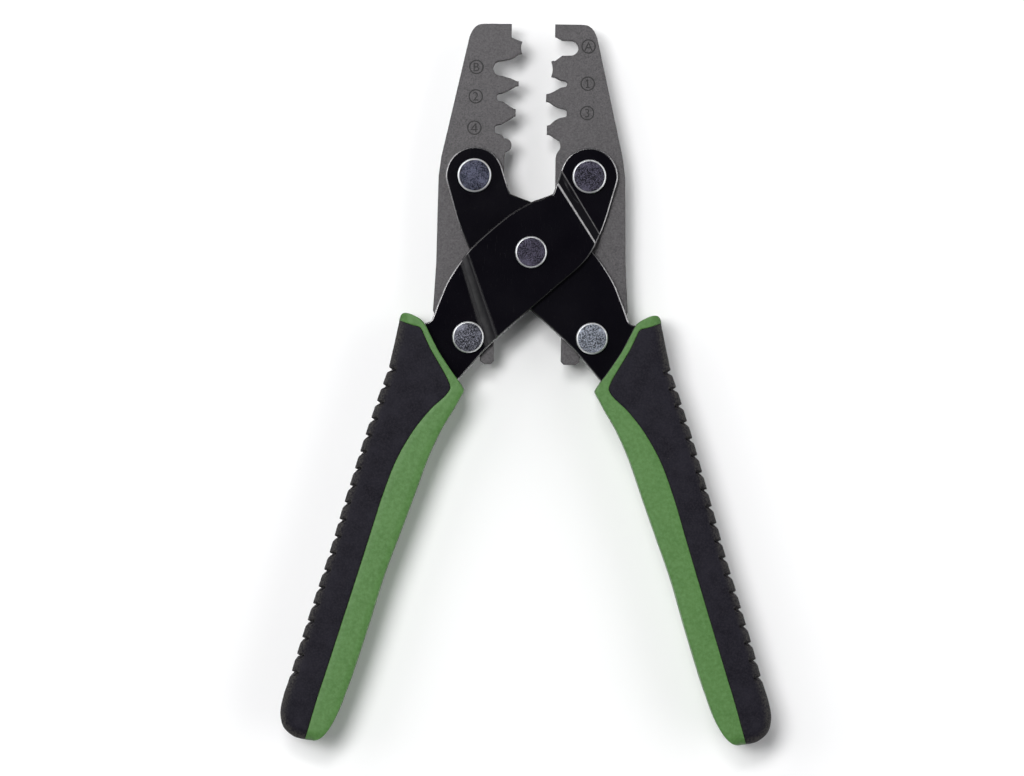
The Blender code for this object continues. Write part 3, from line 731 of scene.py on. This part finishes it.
def ramp_share(ramp, x, y):
    """How far a point is from the ramp's foot, 0, to its head, 1; it goes on past both."""
    foot, head = ramp
    inwards = 1 if line_side(foot, *head[0]) > 0 else -1
    past_foot = inwards * line_side(foot, x, y)
    to_head = -inwards * line_side(head, x, y)
    total = past_foot + to_head
    return past_foot / total if total > 0 else float(past_foot > 0)


def ramp_profile(share, bends):
    """An even slope with round bends at its foot and head; a bend reaches as far to both sides."""
    foot_bend, head_bend = bends
    if share < foot_bend:
        return max(share + foot_bend, 0.0) ** 2 / (4 * foot_bend)
    if share > 1.0 - head_bend:
        return 1.0 - max(1.0 + head_bend - share, 0.0) ** 2 / (4 * head_bend)
    return share


def joggle(obj, side, lift):
    """Raise the plate's middle smoothly between the two ramps."""
    bm = bmesh.new()
    bm.from_mesh(obj.data)
    for (foot, head), (foot_bend, head_bend) in ((UPPER_RAMP, UPPER_BENDS), (LOWER_RAMP, LOWER_BENDS)):
        shares = [step / RAMP_STEPS for step in range(1, 2 * RAMP_STEPS)]
        shares = [share for share in shares if share < 1 + head_bend]
        # Rows just outside the bends keep the bends' shading off the plate's flat faces
        shares += [-2 * foot_bend, -foot_bend, 0.0, foot_bend, 1 + head_bend, 1.15 + head_bend]
        for share in shares:
            start, end = (Vector(p).lerp(Vector(q), share) for p, q in zip(foot, head))
            start.x *= side
            end.x *= side
            across = Vector((end.y - start.y, start.x - end.x, 0)).normalized()
            everything = bm.verts[:] + bm.edges[:] + bm.faces[:]
            bmesh.ops.bisect_plane(bm, geom=everything, dist=CUT_SNAP, plane_co=to_world(*start),
                                   plane_no=across)
    for vertex in bm.verts:
        x, y = (vertex.co.x - CENTRE.x) / MM * side, (vertex.co.y - CENTRE.y) / MM
        upper = ramp_profile(ramp_share(UPPER_RAMP, x, y), UPPER_BENDS)
        lower = ramp_profile(ramp_share(LOWER_RAMP, x, y), LOWER_BENDS)
        vertex.co.z += lift * min(upper, lower) * MM
    bm.to_mesh(obj.data)
    bm.free()
    drop_slivers(obj.data)


def make_link(node, outline_node, material, edge_material):
    """One handle plate. A joggled one takes its outline from its flat twin in the other handle."""
    handle = node.split("_")[0]
    joggled = node != outline_node
    loops = [refined(sided(loop, -1 if joggled else 1)) for loop in plan_loops(outline_node)]
    flat_low, flat_high = node_heights(outline_node)
    thickness = flat_high - flat_low
    low, high = node_heights(node)
    face = FRONT if high > 0 else BACK
    foot = low if face == FRONT else high - thickness
    link = extruded(node.replace("link", "plate"), loops, foot, foot + thickness, PLATE_EDGE)
    sharpen_caps(link.data)
    link.data.materials.append(material)
    link.data.materials.append(edge_material)
    for polygon in link.data.polygons:
        if RIM_TILTS[0] < abs(polygon.normal.z) < RIM_TILTS[1]:
            polygon.material_index = 1
    if joggled:
        joggle(link, LEFT if handle == "left" else RIGHT, face * (high - low - thickness))
    return add_piece(link, handle + "_handle", "link_steel", None, node)


# ---------------------------------------------------------------- rivets

def wobble(mesh, centre, phase):
    """A pressed rivet head isn't quite round: shift its rim by a few hundredths of a millimetre."""
    for vertex in mesh.vertices:
        x, y = vertex.co.x - centre.x, vertex.co.y - centre.y
        angle = math.atan2(y, x)
        share = sum(math.sin(k * angle + phase * k) for k in WOBBLE_WAVES) * RIVET_WOBBLE
        vertex.co.x += x * share
        vertex.co.y += y * share


def make_rivet(node, body, material, phase):
    """A rivet with a flat head on each side, pressed to a rounded bright rim."""
    low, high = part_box(node)
    radius = (high.x - low.x) / 2 / MM
    top = node_heights(node)[1]
    head = [(0, top), (radius * 0.5, top), (radius - RIM - FACE_MARGIN, top)]
    for angle in RIM_ANGLES:
        turn = math.radians(angle)
        head.append((radius - RIM + RIM * math.sin(turn), top - RIM + RIM * math.cos(turn)))
    head += [(radius, top - HEAD_THICKNESS), (SHANK_RADIUS, top - HEAD_THICKNESS)]
    profile = head + [(r, -z) for r, z in head[::-1]]
    rivet = turned(node + "_pin", profile, node_centre(node))
    wobble(rivet.data, node_centre(node), phase)
    return add_piece(rivet, body, "rivet_steel", material, node)


# ---------------------------------------------------------------- grips

RIB_POINTS = np.array(RIBS)


def rib_at(place):
    """Outer edge, seam and inner edge at a place between the ribs, by Catmull-Rom."""
    index = min(int(place), len(RIBS) - 2)
    t = place - index
    picks = np.clip(np.arange(index - 1, index + 3), 0, len(RIBS) - 1)
    p0, p1, p2, p3 = RIB_POINTS[picks]
    return 0.5 * (2 * p1 + (p2 - p0) * t + (2 * p0 - 5 * p1 + 4 * p2 - p3) * t ** 2
                  + (3 * p1 - p0 - 3 * p2 + p3) * t ** 3)


PLACES = np.linspace(0, len(RIBS) - 1, PATH_DENSITY * len(RIBS))
EDGES = np.array([rib_at(place) for place in PLACES])
OUTER_PATH = np.vstack((EDGES[:, 0], EDGES[-1, 1:]))
INNER_PATH = np.vstack((EDGES[:1, 0], EDGES[:, 2], EDGES[-1:, 0]))


def distance_to(path, point):
    """Shortest distance from a plan point to a path."""
    start, along = path[:-1], np.diff(path, axis=0)
    share = ((point - start) * along).sum(axis=1) / np.maximum((along ** 2).sum(axis=1), 1e-9)
    nearest = start + along * np.clip(share, 0, 1)[:, None]
    return float(np.sqrt(((point - nearest) ** 2).sum(axis=1)).min())


def rounded_edge(distance, radius):
    """How far a rounded edge lies under its face, at a distance inside the outline."""
    inside = min(max(distance, 0.0), radius)
    return radius - math.sqrt(radius ** 2 - (radius - inside) ** 2)


def cover_height(point):
    return GRIP_HALF - CORE_PROUD - rounded_edge(distance_to(OUTER_PATH, point), SHOULDER)


def core_height(point, place):
    """The core's face: rounded at both edges, with a chamfer along the inner one under the corner."""
    from_edge = distance_to(INNER_PATH, point)
    drop = CHAMFER_DROP * smoothstep((place - CORNER_RIB + CHAMFER_LEAD) / CHAMFER_OVER)
    chamfer = drop * (1 - min(max((from_edge - INNER_ROUND) / (CHAMFER - INNER_ROUND), 0), 1))
    inner = rounded_edge(from_edge, INNER_ROUND) + chamfer
    return GRIP_HALF - max(inner, rounded_edge(distance_to(OUTER_PATH, point), SHOULDER))


def from_groove(edge_y):
    """Distance along the outer edge from the nearest groove's middle, positive towards the butt."""
    pitch = (GROOVE_LAST_Y - GROOVE_FIRST_Y) / (GROOVE_COUNT - 1)
    number = min(max(round((edge_y - GROOVE_FIRST_Y) / pitch), 0), GROOVE_COUNT - 1)
    return (GROOVE_FIRST_Y + number * pitch - edge_y) / EDGE_SLOPE


def on_curve(pairs, value):
    """Straight-line interpolation through pairs of a value and its result."""
    return float(np.interp(value, *zip(*pairs)))


def cover_section(place):
    """Half of the cover's section at a rib, from the middle of its outer side to that of the seam."""
    outer, seam, _ = rib_at(place)
    length = np.linalg.norm(seam - outer)
    along = (seam - outer) / length
    gap = SEAM_GAP * smoothstep(place / TIP_CLOSED)
    rounding = min(SEAM_ROUND, length / 4)
    shoulder = min(SHOULDER, 0.5 * length)
    offset = from_groove(outer[1])
    notch, pit = on_curve(NOTCH, offset), on_curve(PIT, offset)
    side = cover_height(outer)
    half = [(notch, side * share) for share in (0.0, 0.4, 0.75)]
    for angle in SHOULDER_ANGLES:
        turn = math.radians(angle)
        inside = shoulder * (1 - math.cos(turn))
        height = cover_height(outer + along * inside)
        depth = max(notch * on_curve(NOTCH_REACH, angle), pit * on_curve(PIT_REACH, angle))
        half.append((inside + depth * math.cos(turn), height - depth * math.sin(turn)))
    face_end = length - gap - rounding
    for share in (0.15, 0.35, 0.55, 0.75, 0.9, 1.0):
        inside = shoulder + (face_end - shoulder) * share
        half.append((inside, cover_height(outer + along * inside)))
    edge = half[-1][1]
    half += [(face_end + rounding * across, edge - rounding * down) for across, down in QUARTER_ROUND]
    half += [(face_end + rounding, edge * 0.5), (face_end + rounding, 0.0)]
    return [(*(outer + along * inside), height) for inside, height in half]


def core_section(place):
    """Half of the core's section at a rib, from the middle of the seam to that of its inner side."""
    _, seam, inner = rib_at(place)
    length = np.linalg.norm(inner - seam)
    along = (inner - seam) / length
    gap = SEAM_GAP * smoothstep(place / TIP_CLOSED)
    rounding = min(SEAM_ROUND, length / 6)
    chamfer = min(CHAMFER, 0.6 * length)
    edge_round = min(INNER_ROUND, 0.4 * length)
    steps = [gap + rounding]
    flat = length - chamfer - gap - rounding
    steps += [gap + rounding + flat * share for share in (0.25, 0.5, 0.75, 1.0)]
    steps += [length - chamfer + (chamfer - edge_round) * share for share in (0.33, 0.67, 1.0)]
    steps += [length - edge_round * (1 - math.sin(math.radians(angle))) for angle in (18, 36, 54, 72, 90)]
    face = [(inside, core_height(seam + along * inside, place)) for inside in steps]
    top = face[0][1]
    half = [(gap, 0.0), (gap, top * 0.5)]
    half += [(gap + rounding * (1 - across), top - rounding * down) for across, down in QUARTER_ROUND[::-1]]
    half += face + [(length, face[-1][1] * 0.6), (length, face[-1][1] * 0.3), (length, 0.0)]
    return [(*(seam + along * inside), height) for inside, height in half]


def ring_of(half):
    """A whole section: the half section in front and its mirror image at the back."""
    return half + [(x, y, -z) for x, y, z in half[-2:0:-1]]


def cover_places():
    """Ribs of the cover: even ones, and closer ones where a groove cuts the outer edge."""
    edge = EDGES[:, 0, 1]
    places = list(np.linspace(0, CORNER_RIB, COLLAR_DENSITY * CORNER_RIB))
    pitch = (GROOVE_LAST_Y - GROOVE_FIRST_Y) / (GROOVE_COUNT - 1)
    for number in range(GROOVE_COUNT):
        centre = GROOVE_FIRST_Y + number * pitch
        for offset in [pair[0] for pair in NOTCH + PIT] + BETWEEN_GROOVES:
            places.append(float(np.interp(-(centre - offset * EDGE_SLOPE), -edge, PLACES)))
    places += list(np.linspace(places[-1], len(RIBS) - 1, BUTT_RIBS))
    places.sort()
    kept = places[:1]
    for place in places[1:]:
        if place - kept[-1] > CLOSEST_PLACES:
            kept.append(place)
    return kept


def make_grips(core_material, cover_material):
    """Both grips: the left one is lofted and cut, and the right one is its mirror image."""
    cover = lofted("left_grip_rubber", [ring_of(cover_section(place)) for place in cover_places()])
    core_places = np.linspace(0, len(RIBS) - 1, CORE_DENSITY * (len(RIBS) - 1) + 1)
    core = lofted("left_grip_shell", [ring_of(core_section(place)) for place in core_places])
    for piece, slot, material in ((core, "grip_core", core_material), (cover, "grip_cover", cover_material)):
        cut_away(piece, extruded("pocket", [list(POCKET)], -POCKET_HALF, POCKET_HALF))
        tidy_mesh(piece.data)
        twin = mirrored_copy(piece, piece.name.replace("left", "right"))
        add_piece(piece, "left_handle", slot, material, "left_" + slot)
        add_piece(twin, "right_handle", slot, material, "right_" + slot)


# ---------------------------------------------------------------- stage, light and camera

def make_floor():
    lowest = min(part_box(node)[0].z for node in frame["nodes"])
    bm = bmesh.new()
    bmesh.ops.create_grid(bm, x_segments=FLOOR_PARTS, y_segments=FLOOR_PARTS, size=FLOOR_SIZE / 2)
    mesh = bpy.data.meshes.new("floor")
    bm.to_mesh(mesh)
    bm.free()
    mesh.transform(Matrix.Translation((0, 0, lowest - FLOOR_GAP)))
    floor = new_object("floor", mesh)
    mesh.materials.append(floor_paint("floor_paint"))


def make_softbox(name, place, size, power):
    """A white area light that looks at the frame's origin."""
    data = bpy.data.lights.new(name, "AREA")
    data.shape = "RECTANGLE"
    data.size, data.size_y = size
    data.energy = power
    light = bpy.data.objects.new(name, data)
    bpy.context.scene.collection.objects.link(light)
    light.location = place
    light.rotation_euler = (-Vector(place)).to_track_quat("-Z", "Y").to_euler()


def make_world(horizon, zenith):
    """A plain studio: pale near the horizon and dark overhead."""
    world = bpy.data.worlds.new("studio")
    bpy.context.scene.world = world
    world.use_nodes = True
    tree = world.node_tree
    direction = add_node(tree, "ShaderNodeTexCoord").outputs["Generated"]
    upwards = add_node(tree, "ShaderNodeSeparateXYZ", {"Vector": direction}).outputs["Z"]
    height = ranged(tree, upwards, *SKY_FADE)
    colour = blended(tree, height, horizon, zenith)
    tree.links.new(colour, tree.nodes["Background"].inputs["Color"])


def make_camera():
    """A long lens straight above, framed and turned as in the photograph."""
    data = bpy.data.cameras.new("camera")
    data.sensor_width = 36.0
    data.lens = data.sensor_width * CAMERA_DISTANCE / FRAME_WIDTH
    data.clip_end = 10.0
    camera = bpy.data.objects.new("camera", data)
    bpy.context.scene.collection.objects.link(camera)
    turn = Matrix.Rotation(math.radians(CAMERA_TURN), 4, "Z")
    around = Matrix.Translation(CENTRE) @ turn @ Matrix.Translation(-CENTRE)
    camera.matrix_world = around @ Matrix.Translation(FRAME_CENTRE + Vector((0, 0, CAMERA_DISTANCE)))
    bpy.context.scene.camera = camera


# ---------------------------------------------------------------- the whole scene

def main():
    oxide = black_oxide("black_oxide")
    phosphate = phosphated_steel("phosphated_steel")
    rubber = moulded_rubber("moulded_rubber")
    green = moulded_green("moulded_green")
    mark_shade = stained_and_shaded_steel("mark_shade")
    edge = worn_edge("worn_edge")

    make_jaw("left_jaw", phosphate, mark_shade)
    make_jaw("right_jaw", phosphate, mark_shade)
    make_link("left_front_link", "right_front_link", black_oxide("front_bent_oxide", LEFT), edge)
    make_link("right_front_link", "right_front_link", oxide, edge)
    make_link("left_back_link", "left_back_link", oxide, edge)
    make_link("right_back_link", "left_back_link", black_oxide("back_bent_oxide", RIGHT), edge)
    for number, (node, (body, dark, light)) in enumerate(RIVETS.items()):
        make_rivet(node, body, rivet_steel(node + "_steel", dark, light), number * WOBBLE_TURN)
    make_grips(green, rubber)

    # The pieces hidden between the plates and in the grips keep their CAD shape
    hidden_steel = rivet_steel("tang_rivet_steel", (0.2, 0.2, 0.24), (0.4, 0.4, 0.44))
    for name, node in frame["nodes"].items():
        if not node.hide_render:
            node.data.materials.clear()
            node.data.materials.append(hidden_steel if name.endswith("rivet") else oxide)

    make_floor()
    for name, place, size, power in SOFTBOXES:
        make_softbox(name, place, size, power)
    make_world(HORIZON, ZENITH)
    make_camera()
    bpy.context.scene.view_settings.view_transform = "Standard"


main()
